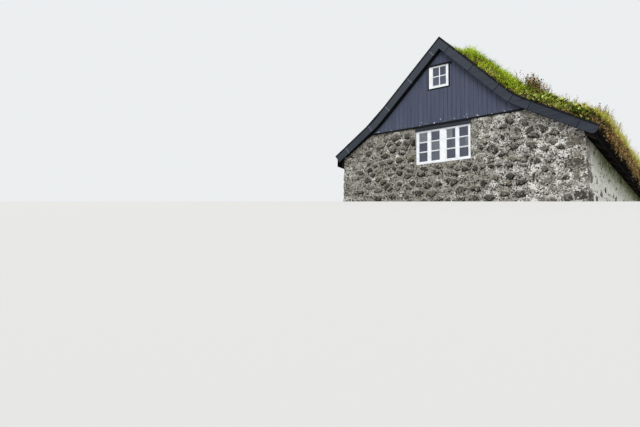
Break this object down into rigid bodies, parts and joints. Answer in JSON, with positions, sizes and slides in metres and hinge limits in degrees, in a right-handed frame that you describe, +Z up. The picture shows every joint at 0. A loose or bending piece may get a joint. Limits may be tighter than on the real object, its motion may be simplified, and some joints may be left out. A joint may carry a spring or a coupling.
{
  "type": "turf-roofed stone house",
  "caption": "Small rubble-stone house with a loft under a steep turf roof that flares over the long walls, boarded gable tops, dark bargeboards and white casement windows.",
  "frame": {"origin": "centre of the bounding box in plan, at the lowest ground level under the walls", "axes": "+Z up, +Y from the front gable to the back gable, +X to the right of the front gable as seen from outside"},
  "size_m": [7.27, 11.4, 5.1583],
  "materials": {
    "stone": "rubble stone with lime mortar",
    "boards": "weathered tar and paint",
    "bargeboards": "tarred",
    "white_wood": "gloss paint, slightly chipped",
    "glass": "old window glass",
    "timber": "sawn softwood",
    "floor_wood": "worn boards",
    "turf": "living turf with grass and heath plants",
    "door_wood": "tarred planks",
    "sill_stone": "rough flagstone"
  },
  "bodies": {
    "root": {"front_wall": "stone", "front_bargeboard_left": "bargeboards", "front_bargeboard_right": "bargeboards", "front_gable_boards": "boards", "front_window_frame": "white_wood", "front_window_sashes": "white_wood", "front_window_glass": "glass", "front_window_hood": "bargeboards", "front_loft_window_frame": "white_wood", "front_loft_window_glass": "glass", "front_loft_window_trim": "bargeboards", "back_wall": "stone", "back_bargeboard_left": "bargeboards", "back_bargeboard_right": "bargeboards", "back_gable_boards": "boards", "back_window_frame": "white_wood", "back_window_sashes": "white_wood", "back_window_glass": "glass", "back_window_hood": "bargeboards", "back_loft_window_frame": "white_wood", "back_loft_window_glass": "glass", "back_loft_window_trim": "bargeboards", "left_wall": "stone", "wall_plate_left": "timber", "rafters_left": "timber", "roof_boards_left": "timber", "eave_board_left": "bargeboards", "turf_left": "turf", "right_wall": "stone", "wall_plate_right": "timber", "rafters_right": "timber", "roof_boards_right": "timber", "eave_board_right": "bargeboards", "turf_right": "turf", "ridge_beam": "timber", "floor_joists": "timber", "ground_floor": "floor_wood", "loft_joists": "timber", "loft_floor": "floor_wood", "door_frame": "door_wood", "door_leaf": "door_wood", "door_sill": "sill_stone"}
  },
  "joints": []
}
